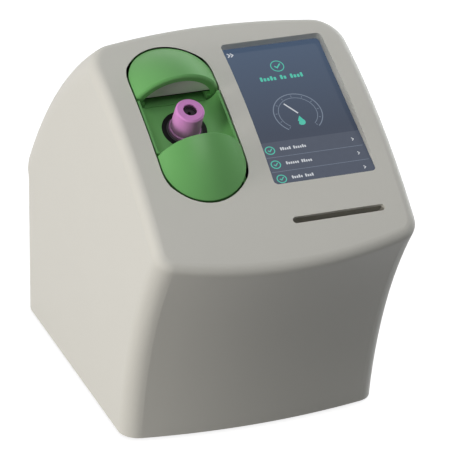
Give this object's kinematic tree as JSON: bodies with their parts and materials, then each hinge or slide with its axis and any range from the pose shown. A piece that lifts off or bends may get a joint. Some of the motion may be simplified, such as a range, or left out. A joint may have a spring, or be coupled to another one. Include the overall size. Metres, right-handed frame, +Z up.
{
  "type": "erythrocyte sedimentation rate analyzer",
  "caption": "Bench analyzer with a bent control panel, display, card slot and a scooped green rotor that tips a capped blood tube over onto a sampling needle.",
  "frame": {"origin": "on the bench, under the middle of the body's bounding box", "axes": "+Z up, +Y to the rear, +X to the right as the operator sees it"},
  "size_m": [0.168, 0.2714, 0.2333],
  "materials": {
    "cover_plastic": "satin moulded",
    "base_metal": "matt",
    "rubber": "matt",
    "screen_glass": "gloss",
    "foam": "matt",
    "black_plastic": "matt",
    "rotor_plastic": "satin",
    "grey_plastic": "matt",
    "cap_plastic": "satin",
    "stopper_rubber": "matt",
    "tube_glass": "clear",
    "blood": "wet",
    "bottle_plastic": "translucent natural",
    "hose": "silicone",
    "white_plastic": "matt",
    "steel": "bright",
    "aluminium": "satin",
    "motor_metal": "satin black",
    "circuit_board": "solder mask",
    "insert_rubber": "matt",
    "panel_plastic": "matt"
  },
  "bodies": {
    "root": {"cover": "cover_plastic", "base_plate": "base_metal", "feet": "rubber", "display_glass": "screen_glass", "display_gasket": "foam", "display_module": "black_plastic", "capillary": "tube_glass", "waste_bottle": "bottle_plastic", "pump_tube": "hose", "bottle_cap": "black_plastic", "read_block": "black_plastic", "home_sensor": "black_plastic", "pump_body": "black_plastic", "card_reader": "black_plastic", "power_jack": "black_plastic", "switch_body": "black_plastic", "rotor_belt": "black_plastic", "wash_well": "white_plastic", "cover_screws": "steel", "display_screws": "steel", "bearing_left": "steel", "bearing_right": "steel", "guide_rods": "steel", "usb_ports": "steel", "lan_port": "steel", "board_standoffs": "steel", "rotor_bracket_left": "aluminium", "rotor_bracket_right": "aluminium", "needle_frame": "aluminium", "display_clamp": "aluminium", "rotor_motor": "motor_metal", "needle_motor": "motor_metal", "pump_motor": "motor_metal", "display_board": "circuit_board", "card_reader_board": "circuit_board", "main_board": "circuit_board", "io_board": "circuit_board", "read_board": "circuit_board", "rear_panel": "panel_plastic"},
    "rotor": {"rotor_drum": "rotor_plastic", "hood_plate": "grey_plastic", "tube_adapter": "black_plastic", "adapter_insert": "insert_rubber", "stub_axle_left": "steel", "stub_axle_right": "steel", "rotor_pulley": "aluminium"},
    "tube": {"tube_glass": "tube_glass", "blood_sample": "blood", "tube_stopper": "stopper_rubber", "tube_cap": "cap_plastic"},
    "rotor_drive": {"motor_pulley": "aluminium", "motor_shaft": "steel"},
    "needle_carriage": {"carriage": "white_plastic", "screw_nut": "white_plastic", "needle": "steel"},
    "needle_screw": {"lead_screw": "steel"},
    "pump_wheel": {"pump_rotor": "aluminium", "pump_rollers": "white_plastic"},
    "rocker": {"switch_rocker": "black_plastic"}
  },
  "joints": [
    {"name": "rotor_turn", "type": "hinge", "parent": "root", "child": "rotor", "pos_m": [-0.0376, -0.0213, 0.14926], "axis": [1, 0, 0], "range_deg": [0, 150.56]},
    {"name": "tube_lift", "type": "slide", "parent": "rotor", "child": "tube", "axis": [0, -0.4915, 0.8709], "range_m": [0, 0.168]},
    {"name": "motor_spin", "type": "hinge", "parent": "root", "child": "rotor_drive", "pos_m": [0, 0.0387, 0.14926], "axis": [1, 0, 0], "range_deg": [-2, 455]},
    {"name": "needle_lift", "type": "slide", "parent": "root", "child": "needle_carriage", "axis": [0, 0, 1], "range_m": [0, 0.032]},
    {"name": "screw_spin", "type": "hinge", "parent": "root", "child": "needle_screw", "pos_m": [-0.0376, 0.0137, 0.03], "axis": [0, 0, 1], "range_deg": [-5, 1160]},
    {"name": "pump_spin", "type": "hinge", "parent": "root", "child": "pump_wheel", "pos_m": [0, 0.022, 0.074], "axis": [1, 0, 0], "continuous": true},
    {"name": "power_rocker", "type": "hinge", "parent": "root", "child": "rocker", "pos_m": [-0.037, 0.1297, 0.0311], "axis": [1, 0, 0], "range_deg": [0, 12]}
  ],
  "couplings": [
    {"joint": "motor_spin", "follows": "rotor_turn", "ratio": 3},
    {"joint": "screw_spin", "follows": "needle_lift", "rad_per_m": 628.32}
  ]
}
